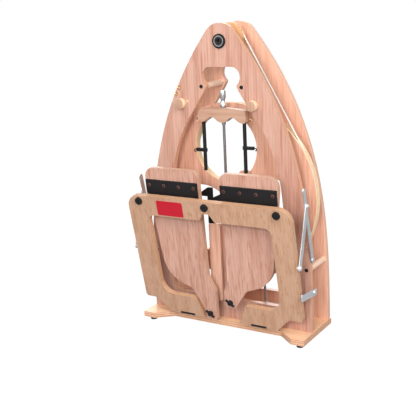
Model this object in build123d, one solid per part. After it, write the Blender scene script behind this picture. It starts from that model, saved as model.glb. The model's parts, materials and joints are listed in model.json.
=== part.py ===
"""Folding double-treadle spinning wheel, modelled folded for carrying.

Millimetres. +X is the spinner's right-hand side of the picture, +Y points to the back, +Z is up.
The origin is the middle of the base's footprint, on the floor.
"""
import os
from math import asin, atan2, cos, degrees, radians, sin, sqrt, tan

from build123d import *

os.makedirs("parts", exist_ok=True)

# Driving dimensions: base
base_half_width = 204.0
base_depth = 144.0
base_thickness = 12.5
base_wing_inner = 174.0
base_middle_half = 137.0
base_middle_front = -42.0
foot_height = 8.5
foot_radius = 9.0
foot_inset_x = 16.0
foot_inset_y = 16.0
foot_screw_radius = 2.5

# Driving dimensions: the two arch panels
panel_thickness = 12.0
panel_inset = 3.0
arch_height = 673.0
apex_radius = 40.0
rail_height = 47.0
leg_shares = [0.0, 0.404, 0.618, 0.81, 0.915]
leg_widths = [51.0, 51.5, 45.0, 52.5, 66.0]
opening_corner = 22.0
neck_half = 35.5
neck_drop = 38.5
head_half = 46.0
head_drop = 53.0
head_corner = 20.0
neck_round = 7.0
post_half = 14.0
post_rise = 41.0
apex_drop = 59.0
axle_height = 303.0
upper_dowel_x = 49.0
upper_dowel_drop = 3.5
lower_dowel_inset = 10.5
lower_dowel_z = 160.0
dowel_radius = 7.0
screw_radius = 2.5
screw_head_radius = 4.2
screw_head_height = 1.5
screw_length = 20.0

# Driving dimensions: drive wheel, axle and crank
wheel_radius = 200.0
wheel_thickness = 18.0
wheel_front_y = 12.0
wheel_hole_radius = 76.0
wheel_hole_offset = 102.0
wheel_hole_count = 3
wheel_hole_angle = 98.5
groove_depth = 4.0
groove_width = 4.6
band_radius = 1.5
band_clearance = 0.3
axle_radius = 6.0
bushing_radius = 9.0
running_clearance = 0.05
flange_radius = 22.0
flange_thickness = 6.0
spacer_radius = 9.5
crank_radius = 36.0
crank_tilt = -25.0
crank_web_radius = 9.0
crank_web = 4.5
crank_slot = 7.5
crank_pin_radius = 5.0
crank_gap = 1.0
crank_washer_radius = 8.0
crank_washer = 2.0

# Driving dimensions: connecting rods
rod_width = 28.0
rod_offset = 8.4
rod_corner = 5.0
rod_thickness = 6.5
rod_joint_length = 45.0
rod_neck_half = 7.5
rod_neck_shift = 1.9
rod_head_half = 5.6
rod_head_rise = 34.5
rod_lug_reach = 24.0
rod_lug_top = 22.0
rod_lug_bottom = 15.0
rod_tongue_depth = 24.0
rod_tongue = 2.6
left_rod_bottom = 64.0
right_rod_bottom = 112.0

# Driving dimensions: whorl
whorl_steps = [36.0, 29.0, 22.0]
whorl_step_width = 10.0
whorl_boss_radius = 20.0
whorl_boss_width = 10.0
whorl_shaft_radius = 8.0
whorl_socket_radius = 4.0
whorl_socket_depth = 30.0
apex_barrel_radius = 13.0
apex_flange_radius = 15.0
apex_flange = 3.0

# Driving dimensions: flyer
flyer_arm_x = 50.0
flyer_arm_radius = 4.0
arm_tip_rise = 13.0
flyer_shaft_radius = 3.0
flyer_socket_depth = 12.0
yoke_half = 58.0
yoke_rise = 122.0
yoke_height = 30.0
yoke_end_height = 25.0
yoke_end_depth = 19.0
yoke_corner = 8.0
yoke_lobe_outer = 3.0
yoke_lobe_half = 6.0
yoke_middle_half = 7.0
yoke_waist_height = 10.5
yoke_thickness = 18.0
arm_seat_depth = 8.0
bore_margin = 6.0
orifice_height = 67.0
orifice_head_radius = 6.4
orifice_head_length = 18.0
orifice_waist_radius = 4.4
orifice_collar_radius = 6.4
orifice_collar = 9.0
orifice_bore_radius = 3.0
left_hook_rise = 58.0
right_hook_rise = 68.0
hook_collar_radius = 5.6
hook_collar_length = 7.0
hook_block_length = 17.0
hook_block_depth = 7.0
hook_wire_reach = 6.0
end_hook_rise = 7.0
end_hook_reach = 9.0
wire_radius = 1.0

# Driving dimensions: knobs on the front panel
knob_drop = 40.5
brake_knob_x = -100.0
clamp_knob_x = 76.0
knob_radius = 11.5
knob_length = 13.0
knob_round = 1.5
knob_gap = 0.5
knob_shank_radius = 4.0
eye_ring = 4.0
eye_stem = 8.0
eye_drop = 19.5
eye_pitch = 14.0

# Driving dimensions: treadle frame
fold_y = -36.8
fold_z = 25.0
frame_lean = 11.3
frame_face_to_axis = 20.0
frame_thickness = 12.5
frame_inset = 5.0
frame_top = 296.0
frame_corner = 29.0
crossbar_depth = 45.0
leg_inner = 151.0
leg_bottom = 38.0
leg_bottom_inner = 167.0
foot_bottom = 6.0
foot_heel = 136.0
foot_toe_bottom = 44.0
foot_toe_top = 64.0
foot_top = 54.0
foot_corner = 33.0
window_corner = 15.0
leg_corner = 8.0
toe_top_corner = 7.0
toe_corner = 3.0
notch_half_top = 8.0
notch_half_bottom = 19.0
notch_depth = 17.0
frame_foot_x = 168.0
frame_foot_radius = 8.5
frame_foot_height = 5.0
frame_foot_drop = 12.5
hinge_x = 91.0
hinge_length = 42.0
hinge_knuckle = 3.6
hinge_pin_radius = 2.0
hinge_leaf = 2.0
hinge_play = 0.4
hinge_arm_reach = 7.5
hinge_leaf_top = 34.0
hinge_plate_half = 19.0
hinge_plate_height = 5.0
hinge_plate_behind = 1.0
batten_thickness = 10.5
batten_half = 170.0
batten_depth = 25.0
batten_drop = 2.0
batten_relief = 2.5

# Driving dimensions: treadles
treadle_lean = 5.7
treadle_thickness = 12.0
treadle_inner = 27.0
treadle_outer_top = 161.5
treadle_outer = 133.5
treadle_top = 371.0
treadle_taper_start = 340.0
treadle_inner_corner = 18.0
treadle_outer_corner = 22.0
shoulder_radius = 70.0
neck_radius = 18.0
neck_inner_radius = 14.0
toe_inner_radius = 12.0
toe_end_radius = 4.0
toe_step = 24.5
toe_outer_top = 67.5
toe_outer_bottom = 40.5
toe_inner_bottom = 12.5
toe_inner_top = 11.0
neck_top_z = 130.0
neck_bottom_z = 96.0
left_shoulder = 119.0
right_shoulder = 131.5
left_toe_straight = 18.0
right_toe_straight = 5.0
left_toe_bottom = 26.0
right_toe_bottom = 61.0
strip_thickness = 3.0
strip_inner = 28.0
strip_outer = 160.0
strip_upper = 30.5
strip_lower = 22.0
strip_gap = 2.0
strip_screws = 4
strip_screw_radius = 3.2
strip_screw_head = 1.2
strip_screw_length = 9.0
strip_screw_inset = 9.0
strip_screw_share = 0.62
knob_toe_x = 27.0
knob_toe_rise = 14.0
wing_hub_radius = 6.0
wing_hub_height = 8.0
wing_span = 24.0
wing_thickness = 4.0
wing_bolt_radius = 2.5
wing_round = 2.5
wing_turn = 35.0
bolt_proud = 1.5
strap_half = 8.0
strap_round = 6.0
strap_length = 40.0
strap_thickness = 2.0

# Driving dimensions: stays and latch
stay_panel_z = 182.0
stay_frame_s = 165.0
stay_width = 12.0
stay_thickness = 2.0
stay_length = 126.5
stay_tail = 34.0
stay_stud_radius = 3.0
stay_head_radius = 5.0
stay_head = 1.5
stay_inset = 3.5
stay_play = 0.3
latch_z = 112.0
latch_tilt = 6.0
latch_round = 2.0
latch_length = 72.0
latch_width = 15.0
latch_end = 8.0
latch_thickness = 1.7
catch_radius = 4.0
rod_wire_radius = 2.5
rod_y = 4.0
rod_outer_x = 170.0
rod_inner_x = 76.0
rod_bend_height = 59.5
rod_top_height = 150.0
rod_bend_radius = 10.0
rod_socket = 8.0

# Worked out from the driving dimensions
base_top = foot_height + base_thickness
panel_half_width = base_half_width - panel_inset
frame_half = base_half_width - frame_inset
stay_x = base_half_width - stay_inset
stay_outer = stay_x + stay_thickness
front_link_x = stay_outer + stay_play
front_link_outer = front_link_x + stay_thickness
latch_x = front_link_outer + stay_play
latch_outer = latch_x + latch_thickness
apex_height = base_top + arch_height - apex_drop
head_top = apex_height - head_drop
neck_height = head_top - neck_drop
upper_dowel_z = neck_height - upper_dowel_drop
lower_dowel_x = panel_half_width - lower_dowel_inset
knob_height = neck_height - knob_drop
eye_height = neck_height - eye_drop
post_top = axle_height + post_rise
yoke_lobe_bottom = post_top + yoke_rise
yoke_top = yoke_lobe_bottom + yoke_height
yoke_end_top = yoke_lobe_bottom + yoke_end_height
yoke_waist_bottom = yoke_lobe_bottom + yoke_waist_height
orifice_top = yoke_lobe_bottom + orifice_height
flyer_arm_tip = post_top + arm_tip_rise
base_front = -base_depth / 2
back_panel_y = base_depth / 2 - panel_thickness
front_panel_y = -24.0
panel_back = front_panel_y + panel_thickness
rail_top = base_top + rail_height
band_y = wheel_front_y + wheel_thickness / 2
flyer_y = front_panel_y + panel_thickness / 2
groove_bottom = wheel_radius - groove_depth
whorl_front_y = band_y - whorl_step_width / 2

web_1_back = front_panel_y - crank_gap
web_1_front = web_1_back - crank_web
slot_1_front = web_1_front - crank_slot
web_2_front = slot_1_front - crank_web
slot_2_front = web_2_front - crank_slot
washer_front = slot_2_front - crank_washer
rod_1_y = (web_1_front + slot_1_front) / 2
rod_2_y = (web_2_front + slot_2_front) / 2

frame_foot_n = frame_face_to_axis
frame_place = Pos(0, fold_y, fold_z) * Rot(frame_lean, 0, 0)
strip_n = frame_thickness + batten_thickness + strip_thickness / 2 - frame_face_to_axis
strip_axis = frame_place * Pos(0, strip_n, frame_top - batten_drop)
strip_y = strip_axis.position.Y
strip_z = strip_axis.position.Z
treadle_place = Pos(0, strip_y, strip_z) * Rot(treadle_lean, 0, 0)


def slab(outline, front, thickness):
    """Extrude an (x, z) outline from its front face towards the back."""
    return extrude(Plane.XZ.offset(-(front + thickness)) * outline, thickness)


def rod_y_axis(x, z, radius, y0, y1):
    """Round bar along Y between two depths."""
    return Plane((x, y0, z), x_dir=(1, 0, 0), z_dir=(0, 1, 0)) * Cylinder(
        radius, y1 - y0, align=(Align.CENTER, Align.CENTER, Align.MIN)
    )


def rod_x_axis(y, z, radius, x0, x1):
    """Round bar along X between two sides."""
    low, high = min(x0, x1), max(x0, x1)
    return Plane((low, y, z), x_dir=(0, 1, 0), z_dir=(1, 0, 0)) * Cylinder(
        radius, high - low, align=(Align.CENTER, Align.CENTER, Align.MIN)
    )


def rod_z_axis(x, y, radius, z0, z1):
    """Round bar along Z between two heights."""
    return Pos(x, y, z0) * Cylinder(radius, z1 - z0, align=(Align.CENTER, Align.CENTER, Align.MIN))


def corner(sketch, x, z, radius):
    """Round the sketch's vertex that lies nearest to (x, z)."""
    vertex = sorted(sketch.vertices(), key=lambda v: (v.X - x) ** 2 + (v.Y - z) ** 2)[0]
    return fillet(vertex, radius)


def save(node, *solids):
    """Write one node as a STEP file."""
    shape = solids[0] if len(solids) == 1 else Compound(children=list(solids))
    export_step(shape, f"parts/{node}.step")


# Base board, a plywood U with two wings that reach forward
base_outline = make_face(
    Polyline(
        (-base_half_width, base_front),
        (-base_wing_inner, base_front),
        (-base_middle_half, base_middle_front),
        (base_middle_half, base_middle_front),
        (base_wing_inner, base_front),
        (base_half_width, base_front),
        (base_half_width, -base_front),
        (-base_half_width, -base_front),
        close=True,
    )
)
base_board = Pos(0, 0, foot_height) * extrude(base_outline, base_thickness)
for side in (-1, 1):
    base_board -= rod_z_axis(side * rod_outer_x, rod_y, rod_wire_radius, base_top - rod_socket, base_top)
foot_places = [
    (sx * (base_half_width - foot_inset_x), sy * (base_depth / 2 - foot_inset_y))
    for sx in (-1, 1)
    for sy in (-1, 1)
]
base_feet = []
for x, y in foot_places:
    foot = Pos(x, y, foot_height / 2) * Cone(foot_radius * 0.85, foot_radius, foot_height)
    foot -= rod_z_axis(x, y, foot_screw_radius * 2, 0, foot_height / 2)
    base_feet.append(foot)
save("base_board", base_board)
save("base_feet", *base_feet)


# Arch panels: the flank falls away with the cube of the height, and the apex is rounded
def arch_half_width(height):
    return panel_half_width * (1 - ((height - base_top) / arch_height) ** 3)


def arch_outline():
    shares = (0.0, 0.25, 0.45, 0.62, 0.78, 0.9, 1.0)
    flank = [(panel_half_width * (1 - t**3), base_top + t * arch_height) for t in shares]
    right = Spline(*flank)
    left = Spline(*[(-x, z) for x, z in flank])
    foot = Line(left @ 0, right @ 0)
    face = make_face([foot, right, left])
    return corner(face, 0, base_top + arch_height, apex_radius)


def arch_opening():
    heights = [rail_top + share * (neck_height - rail_top) for share in leg_shares]
    inner = [(arch_half_width(z) - width, z) for z, width in zip(heights, leg_widths)]
    inner.append((neck_half, neck_height))
    right = Spline(*inner)
    left = Spline(*[(-x, z) for x, z in inner])
    lower = make_face([Line(left @ 0, right @ 0), right, left, Line(left @ 1, right @ 1)])
    arc_x = neck_half - head_half + head_corner
    arc_drop = sqrt(head_corner**2 - arc_x**2)
    head_height = head_top - neck_height - arc_drop + head_corner
    head = Pos(0, head_top - head_height / 2) * RectangleRounded(2 * head_half, head_height, head_corner)
    opening = lower + head
    for side in (-1, 1):
        opening = corner(opening, side * neck_half, neck_height, neck_round)
    post = Pos(0, (rail_top + post_top - post_half) / 2) * Rectangle(
        2 * post_half, post_top - post_half - rail_top
    )
    post += Pos(0, post_top - post_half) * Circle(post_half)
    opening -= post
    for side in (-1, 1):
        opening = corner(opening, side * inner[0][0], rail_top, opening_corner)
        opening = corner(opening, side * post_half, rail_top, opening_corner)
    return opening


panel_face = arch_outline() - arch_opening()
dowel_places = [(side * upper_dowel_x, upper_dowel_z) for side in (-1, 1)]
dowel_places += [(side * lower_dowel_x, lower_dowel_z) for side in (-1, 1)]
for x, z in dowel_places:
    panel_face -= Pos(x, z) * Circle(screw_radius)
panel_face -= Pos(0, apex_height) * Circle(apex_barrel_radius)
panel_face -= Pos(0, axle_height) * Circle(bushing_radius)
back_panel = slab(panel_face, back_panel_y, panel_thickness)
front_panel = slab(panel_face, front_panel_y, panel_thickness)
for x in (brake_knob_x, clamp_knob_x):
    front_panel -= rod_y_axis(
        x, knob_height, knob_shank_radius + running_clearance, front_panel_y, panel_back
    )
socket_bottom = post_top - flyer_socket_depth
front_panel -= rod_z_axis(0, flyer_y, flyer_shaft_radius + running_clearance, socket_bottom, post_top)
save("back_panel", back_panel)


# Spacer dowels between the panels, drawn up by a screw from each side
def dowel(x, z):
    bar = rod_y_axis(x, z, dowel_radius, panel_back, back_panel_y)
    bar -= rod_y_axis(x, z, screw_radius, panel_back, panel_back + screw_length - panel_thickness)
    return bar - rod_y_axis(x, z, screw_radius, back_panel_y - screw_length + panel_thickness, back_panel_y)


def panel_screw(x, z, face, direction):
    y_head = face - direction * screw_head_height
    y_tip = face + direction * screw_length
    head = rod_y_axis(x, z, screw_head_radius, min(face, y_head), max(face, y_head))
    return head + rod_y_axis(x, z, screw_radius, min(face, y_tip), max(face, y_tip))


save("upper_spacer_dowels", *[dowel(x, z) for x, z in dowel_places[:2]])
save("lower_spacer_dowels", *[dowel(x, z) for x, z in dowel_places[2:]])
back_face = back_panel_y + panel_thickness
panel_screws = [panel_screw(x, z, front_panel_y, 1) for x, z in dowel_places]
panel_screws += [panel_screw(x, z, back_face, -1) for x, z in dowel_places]
save("panel_screws", *panel_screws)

# Axle bushings in the two posts, and bearings at the apex
for name, y in (("front_axle_bushing", front_panel_y), ("back_axle_bushing", back_panel_y)):
    bush = rod_y_axis(0, axle_height, bushing_radius, y, y + panel_thickness)
    bush -= rod_y_axis(0, axle_height, axle_radius + running_clearance, y, y + panel_thickness)
    save(name, bush)
for name, y, proud in (
    ("front_apex_bearing", front_panel_y, -1),
    ("back_apex_bearing", back_face, 1),
):
    inner = y - proud * panel_thickness
    outer = y + proud * apex_flange
    bearing = rod_y_axis(0, apex_height, apex_barrel_radius, min(y, inner), max(y, inner))
    bearing += rod_y_axis(0, apex_height, apex_flange_radius, min(y, outer), max(y, outer))
    bearing -= rod_y_axis(
        0, apex_height, whorl_shaft_radius + running_clearance, min(inner, outer), max(inner, outer)
    )
    save(name, bearing)

# Drive wheel: grooved disc, flanges and spacers on a steel axle
wheel_face = Circle(wheel_radius) - Circle(axle_radius)
for index in range(wheel_hole_count):
    angle = radians(wheel_hole_angle + index * 360 / wheel_hole_count)
    wheel_face -= Pos(wheel_hole_offset * cos(angle), wheel_hole_offset * sin(angle)) * Circle(
        wheel_hole_radius
    )
wheel_disc = slab(Pos(0, axle_height) * wheel_face, wheel_front_y, wheel_thickness)
groove = rod_y_axis(
    0, axle_height, wheel_radius + 1, band_y - groove_width / 2, band_y + groove_width / 2
)
groove -= rod_y_axis(
    0, axle_height, groove_bottom, band_y - groove_width / 2, band_y + groove_width / 2
)
wheel_disc -= groove
save("wheel_disc", wheel_disc)


def axle_ring(radius, y0, y1):
    return rod_y_axis(0, axle_height, radius, y0, y1) - rod_y_axis(0, axle_height, axle_radius, y0, y1)


wheel_back_y = wheel_front_y + wheel_thickness
flange_front_y = wheel_front_y - flange_thickness
flange_back_y = wheel_back_y + flange_thickness
save(
    "hub_flanges",
    axle_ring(flange_radius, flange_front_y, wheel_front_y),
    axle_ring(flange_radius, wheel_back_y, flange_back_y),
)
save(
    "axle_spacers",
    axle_ring(spacer_radius, panel_back + crank_gap, flange_front_y),
    axle_ring(spacer_radius, flange_back_y, back_panel_y - crank_gap),
)
axle = rod_y_axis(0, axle_height, axle_radius, web_1_front, back_face + crank_gap)
save("axle", axle)


# Double crank: two webs, the left rod's pin between them and the right rod's pin in front
def web(x0, x1, front, thickness):
    middle = (x0 + x1) / 2
    span = abs(x1 - x0)
    bar = Pos(middle, axle_height) * (Rectangle(span, 2 * crank_web_radius))
    for x in (x0, x1):
        bar += Pos(x, axle_height) * Circle(crank_web_radius)
    return slab(bar, front, thickness)


crank_place = Pos(0, 0, axle_height) * Rot(0, crank_tilt, 0) * Pos(0, 0, -axle_height)
crank = web(-crank_radius, 0, web_1_front, crank_web)
crank -= rod_y_axis(0, axle_height, axle_radius, web_1_front, web_1_back)
crank += rod_y_axis(-crank_radius, axle_height, crank_pin_radius, slot_1_front, web_1_front)
crank += web(-crank_radius, crank_radius, web_2_front, crank_web)
crank += rod_y_axis(crank_radius, axle_height, crank_pin_radius, slot_2_front, web_2_front)
washer = rod_y_axis(crank_radius, axle_height, crank_washer_radius, washer_front, slot_2_front)
save("double_crank", crank_place * crank)
save("crank_washer", crank_place * washer)


# Connecting rods: a wooden bar, and a black joint that holds the crank pin
def connecting_rod(side, y, bottom):
    x = side * crank_radius * cos(radians(crank_tilt))
    pin_z = axle_height - side * crank_radius * sin(radians(crank_tilt))
    top = pin_z - rod_joint_length
    front = y - rod_thickness / 2
    bar = Pos(x - side * rod_offset, (top + bottom) / 2) * RectangleRounded(
        rod_width, top - bottom, rod_corner
    )
    neck_x = x - side * rod_neck_shift
    neck = Pos(neck_x, (pin_z + top) / 2) * Rectangle(2 * rod_neck_half, rod_joint_length)
    head = Pos(x, pin_z + rod_head_rise / 2) * Rectangle(2 * rod_head_half, rod_head_rise)
    lug = make_face(
        Polyline(
            (x, pin_z + rod_head_rise),
            (x + side * rod_head_half, pin_z + rod_head_rise),
            (x + side * rod_lug_reach, pin_z + rod_lug_top),
            (x + side * rod_lug_reach, pin_z + rod_lug_bottom),
            (x, pin_z + rod_lug_bottom),
            close=True,
        )
    )
    eye = Pos(x, pin_z) * Circle(crank_web_radius)
    hole = Pos(x, pin_z) * Circle(crank_pin_radius + running_clearance)
    tongue = slab(
        Pos(neck_x, top - rod_tongue_depth / 2) * Rectangle(2 * rod_neck_half, rod_tongue_depth),
        y - rod_tongue / 2,
        rod_tongue,
    )
    wood = slab(bar, front, rod_thickness) - tongue
    joint = slab(neck + head + lug + eye - hole, front, rod_thickness) + tongue
    return wood, joint


for name, side, y, bottom in (
    ("left", -1, rod_1_y, left_rod_bottom),
    ("right", 1, rod_2_y, right_rod_bottom),
):
    wood, joint = connecting_rod(side, y, bottom)
    save(f"connecting_rod_{name}", wood)
    save(f"rod_joint_{name}", joint)

# Whorl: three grooved steps on a hollow shaft, with the flyer socket in its front end
whorl_shaft_front = front_panel_y - apex_flange - crank_gap
whorl_shaft_back = back_face + apex_flange + crank_gap
whorl = rod_y_axis(0, apex_height, whorl_boss_radius, whorl_front_y - whorl_boss_width, whorl_front_y)
for index, radius in enumerate(whorl_steps):
    y0 = whorl_front_y + index * whorl_step_width
    step = rod_y_axis(0, apex_height, radius, y0, y0 + whorl_step_width)
    middle = y0 + whorl_step_width / 2
    cut = rod_y_axis(0, apex_height, radius + 1, middle - groove_width / 2, middle + groove_width / 2)
    cut -= rod_y_axis(
        0, apex_height, radius - groove_depth, middle - groove_width / 2, middle + groove_width / 2
    )
    whorl += step - cut
whorl_back_y = whorl_front_y + len(whorl_steps) * whorl_step_width
whorl -= rod_y_axis(0, apex_height, whorl_shaft_radius, whorl_front_y - whorl_boss_width, whorl_back_y)
whorl_shaft = rod_y_axis(0, apex_height, whorl_shaft_radius, whorl_shaft_front, whorl_shaft_back)
whorl_shaft -= rod_y_axis(
    0, apex_height, whorl_socket_radius, whorl_shaft_front, whorl_shaft_front + whorl_socket_depth
)
save("whorl", whorl)
save("whorl_shaft", whorl_shaft)

# Drive band: one taut loop round the wheel's rim and the whorl's large step
band_wheel = groove_bottom + band_clearance + band_radius
band_whorl = whorl_steps[0] - groove_depth + band_clearance + band_radius
centres = apex_height - axle_height
lift = asin((band_wheel - band_whorl) / centres)
run = sqrt(centres**2 - (band_wheel - band_whorl) ** 2)


def band_arc(height, radius, start, sweep):
    """Part of a ring about a Y axis: angles from +X towards +Z."""
    section = Plane((radius * cos(start), band_y, height + radius * sin(start)),
                    x_dir=(cos(start), 0, sin(start)), z_dir=(-sin(start), 0, cos(start)))
    axis = Axis((0, band_y, height), (0, -1, 0))
    return revolve(section * Circle(band_radius), axis, degrees(sweep))


band = band_arc(axle_height, band_wheel, radians(180) - lift, radians(180) + 2 * lift)
band += band_arc(apex_height, band_whorl, lift, radians(180) - 2 * lift)
for side in (-1, 1):
    start = Vector(side * band_wheel * cos(lift), band_y, axle_height + band_wheel * sin(lift))
    direction = Vector(-side * sin(lift), 0, cos(lift))
    band += Plane(start, z_dir=direction) * Cylinder(
        band_radius, run, align=(Align.CENTER, Align.CENTER, Align.MIN)
    )
print("drive band length", round(2 * run + band_wheel * (radians(180) + 2 * lift)
                                 + band_whorl * (radians(180) - 2 * lift), 1))
print("drive band volume", round(band.volume, 1))
save("drive_band", band)


# Flyer, stored with its shaft in the front post
def yoke_outline():
    top = ThreePointArc((-yoke_half, yoke_end_top), (0, yoke_top), (yoke_half, yoke_end_top))
    right_half = [
        (yoke_half, yoke_end_top - yoke_end_depth),
        (yoke_half - yoke_lobe_outer, yoke_lobe_bottom),
        (flyer_arm_x - yoke_lobe_half, yoke_lobe_bottom),
        (flyer_arm_x / 2, yoke_waist_bottom),
        (yoke_middle_half, yoke_lobe_bottom),
    ]
    wave = Spline(*right_half, *[(-x, z) for x, z in reversed(right_half)])
    face = make_face([top, Line(top @ 1, wave @ 0), wave, Line(wave @ 1, top @ 0)])
    for side in (-1, 1):
        face = corner(face, side * yoke_half, yoke_end_top, yoke_corner)
    return face


arm_top = yoke_lobe_bottom + arm_seat_depth
yoke = slab(yoke_outline(), flyer_y - yoke_thickness / 2, yoke_thickness)
for side in (-1, 1):
    yoke -= rod_z_axis(side * flyer_arm_x, flyer_y, flyer_arm_radius, yoke_lobe_bottom - bore_margin, arm_top)
yoke -= rod_z_axis(
    0, flyer_y, orifice_waist_radius, yoke_lobe_bottom - bore_margin, yoke_top + bore_margin
)
orifice_neck = orifice_top - orifice_head_length
shaft_top = yoke_lobe_bottom + arm_seat_depth
orifice_tube = rod_z_axis(0, flyer_y, orifice_waist_radius, shaft_top, orifice_neck)
orifice_tube += rod_z_axis(0, flyer_y, orifice_head_radius, orifice_neck, orifice_top)
orifice_tube += rod_z_axis(0, flyer_y, orifice_collar_radius, yoke_top, yoke_top + orifice_collar)
orifice_tube -= rod_z_axis(0, flyer_y, orifice_bore_radius, shaft_top + bore_margin, orifice_top)
flyer_shaft = rod_z_axis(0, flyer_y, flyer_shaft_radius, socket_bottom, yoke_lobe_bottom - bore_margin)
flyer_shaft += rod_z_axis(0, flyer_y, orifice_waist_radius, yoke_lobe_bottom - bore_margin, shaft_top)
arms = [
    rod_z_axis(side * flyer_arm_x, flyer_y, flyer_arm_radius, flyer_arm_tip, arm_top) for side in (-1, 1)
]
save("flyer_yoke", yoke)
save("orifice_tube", orifice_tube)
save("flyer_shaft", flyer_shaft)
save("flyer_arms", *arms)


def open_hook(x, y, z, reach, side):
    """Bent wire: a short arm outwards that turns down and back up."""
    route = FilletPolyline(
        (x, y, z),
        (x + side * reach, y, z),
        (x + side * reach, y, z - reach * 0.8),
        (x + side * reach * 0.45, y, z - reach * 0.8),
        radius=reach * 0.2,
    )
    section = Plane(route @ 0, z_dir=route % 0) * Circle(wire_radius)
    return sweep(section, route)


end_hook_z = yoke_lobe_bottom + end_hook_rise
save(
    "yoke_end_hooks",
    *[open_hook(side * yoke_half, flyer_y, end_hook_z, end_hook_reach, side) for side in (-1, 1)],
)


# Sliding hooks: a black clip on each arm, with a bent wire at its end
def sliding_hook(side, z):
    x = side * flyer_arm_x
    z0 = z - hook_collar_length / 2
    clip = rod_z_axis(x, flyer_y, hook_collar_radius, z0, z0 + hook_collar_length)
    block_x = x + side * (flyer_arm_radius + hook_block_length / 2)
    clip += Pos(block_x, flyer_y, z) * Box(hook_block_length, hook_block_depth, hook_collar_length)
    clip -= rod_z_axis(x, flyer_y, flyer_arm_radius + running_clearance, z0, z0 + hook_collar_length)
    tip = x + side * (flyer_arm_radius + hook_block_length)
    return clip + open_hook(tip, flyer_y, z, hook_wire_reach, side)


save("sliding_hook_left", sliding_hook(-1, post_top + left_hook_rise))
save("sliding_hook_right", sliding_hook(1, post_top + right_hook_rise))


# Turned knobs on the front panel, and the brass guide eyes of the brake
def knob(x):
    back = front_panel_y - knob_gap
    head = rod_y_axis(x, knob_height, knob_radius, back - knob_length, back)
    head = fillet(head.edges().filter_by(GeomType.CIRCLE).sort_by(Axis.Y)[0], knob_round)
    return head + rod_y_axis(x, knob_height, knob_shank_radius, back, panel_back + 2)


save("brake_knob", knob(brake_knob_x))
save("clamp_knob", knob(clamp_knob_x))


def guide_eye(z):
    x = -arch_half_width(z) + eye_ring * 2
    ring = Plane((x, front_panel_y - eye_stem, z), z_dir=(1, 0, 0)) * Torus(eye_ring, wire_radius)
    return ring + rod_y_axis(x, z, wire_radius, front_panel_y - eye_stem + eye_ring, front_panel_y)


save("guide_eyes", guide_eye(eye_height), guide_eye(eye_height + eye_pitch))


# Bent steel rods for spare bobbins, standing in the base between the panels
def bobbin_rod(side):
    route = FilletPolyline(
        (side * rod_outer_x, rod_y, base_top - rod_socket),
        (side * rod_outer_x, rod_y, rod_bend_height),
        (side * rod_inner_x, rod_y, rod_bend_height),
        (side * rod_inner_x, rod_y, rod_top_height),
        radius=rod_bend_radius,
    )
    section = Plane(route @ 0, z_dir=route % 0) * Circle(rod_wire_radius)
    return sweep(section, route)


save("bobbin_rods", bobbin_rod(-1), bobbin_rod(1))


# Fold hinges: leaves on the base, leaves on the treadle frame, and their pins
def knuckle(x, length, radius):
    return rod_x_axis(0, 0, radius, x - length / 2, x + length / 2)


def hinge_plate(side, behind):
    """Black plate let into the bottom edge of a frame foot."""
    depth = frame_thickness + behind
    return Pos(side * hinge_x, depth / 2 - frame_face_to_axis, foot_bottom + hinge_plate_height / 2) * Box(
        2 * hinge_plate_half, depth, hinge_plate_height
    )


third = hinge_length / 3
base_leaves = []
hinge_pins = []
frame_leaves = []
leaf_back = front_panel_y - fold_y
for side in (-1, 1):
    leaf = Pos(side * hinge_x, leaf_back / 2, base_top - fold_z + hinge_leaf / 2) * Box(
        hinge_length, leaf_back, hinge_leaf
    )
    leaf -= rod_x_axis(0, 0, hinge_knuckle + hinge_play, side * hinge_x - third / 2 - hinge_play,
                       side * hinge_x + third / 2 + hinge_play)
    leaf -= rod_x_axis(0, 0, hinge_knuckle, side * hinge_x - hinge_length, side * hinge_x + hinge_length)
    for end in (-1, 1):
        x = side * hinge_x + end * third
        leaf += knuckle(x, third, hinge_knuckle)
        leaf += Pos(x, hinge_knuckle / 2, (base_top - fold_z) / 2) * Box(
            third, hinge_knuckle, fold_z - base_top
        )
    leaf -= knuckle(side * hinge_x, hinge_length, hinge_pin_radius)
    base_leaves.append(Pos(0, fold_y, fold_z) * leaf)
    hinge_pins.append(Pos(0, fold_y, fold_z) * knuckle(side * hinge_x, hinge_length, hinge_pin_radius))
    back = frame_thickness - frame_face_to_axis
    arm = make_face(
        Polyline(
            (back, hinge_arm_reach + 3),
            (back, hinge_leaf_top),
            (back + hinge_leaf, hinge_leaf_top),
            (back + hinge_leaf, hinge_arm_reach + 6),
            (2.8, 5.5),
            (2.8, 0.5),
            (-3.0, -0.5),
            (-3.0, hinge_arm_reach),
            close=True,
        )
    )
    width = third - 2 * hinge_play
    arm = Plane((side * hinge_x - width / 2, 0, 0), x_dir=(0, 1, 0), z_dir=(1, 0, 0)) * arm
    arm = extrude(arm, width)
    arm += knuckle(side * hinge_x, width, hinge_knuckle)
    arm += hinge_plate(side, hinge_plate_behind)
    arm -= knuckle(side * hinge_x, hinge_length, hinge_pin_radius + running_clearance)
    frame_leaves.append(frame_place * arm)
save("fold_hinge_base_leaves", *base_leaves)
save("fold_hinge_pins", *hinge_pins)
save("fold_hinge_frame_leaves", *frame_leaves)


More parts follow.
